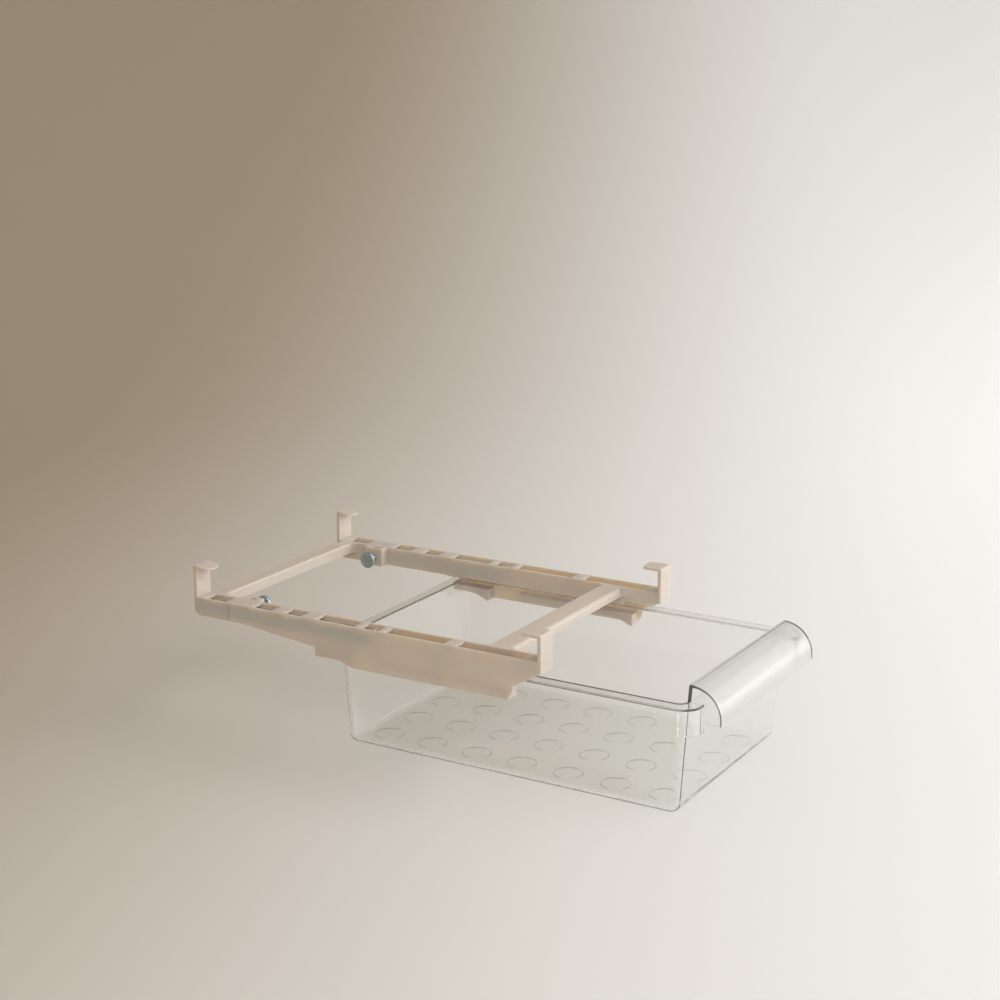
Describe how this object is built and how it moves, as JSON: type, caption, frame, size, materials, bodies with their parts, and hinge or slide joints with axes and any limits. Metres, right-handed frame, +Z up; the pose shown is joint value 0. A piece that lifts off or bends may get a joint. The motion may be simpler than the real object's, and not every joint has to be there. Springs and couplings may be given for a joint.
{
  "type": "refrigerator shelf drawer",
  "caption": "Clear pull-out tray with a hooded handle, hung by its rim from a telescoping plastic frame that hooks over a refrigerator shelf and clamps with thumbscrews.",
  "frame": {"origin": "middle of the drawer's flat underside, in the pose of the picture", "axes": "+Z up, -Y towards the person who pulls the drawer, X across from rail to rail"},
  "size_m": [0.224, 0.4687, 0.1331],
  "materials": {
    "clear_plastic": "clear moulded styrene plastic, polished",
    "cream_plastic": "cream moulded plastic, fine satin",
    "zinc": "bright zinc-plated steel with a faint blue tint"
  },
  "bodies": {
    "front_frame": {"front_frame": "cream_plastic", "nut_left": "zinc", "nut_right": "zinc"},
    "rear_frame": {"rear_frame": "cream_plastic"},
    "drawer": {"drawer": "clear_plastic"},
    "thumbscrew_left": {"thumbscrew_left": "zinc"},
    "thumbscrew_right": {"thumbscrew_right": "zinc"}
  },
  "joints": [
    {"name": "drawer_slide", "type": "slide", "parent": "front_frame", "child": "drawer", "axis": [0, -1, 0], "range_m": [-0.139, 0.095]},
    {"name": "frame_extension", "type": "slide", "parent": "front_frame", "child": "rear_frame", "axis": [0, 1, 0], "range_m": [0, 0.1]},
    {"name": "thumbscrew_left_turn", "type": "hinge", "parent": "front_frame", "child": "thumbscrew_left", "pos_m": [-0.07564, 0.24297, 0.0973], "axis": [1, 0, 0], "range_deg": [0, 720]},
    {"name": "thumbscrew_right_turn", "type": "hinge", "parent": "front_frame", "child": "thumbscrew_right", "pos_m": [0.07564, 0.24297, 0.0973], "axis": [-1, 0, 0], "range_deg": [0, 720]}
  ]
}
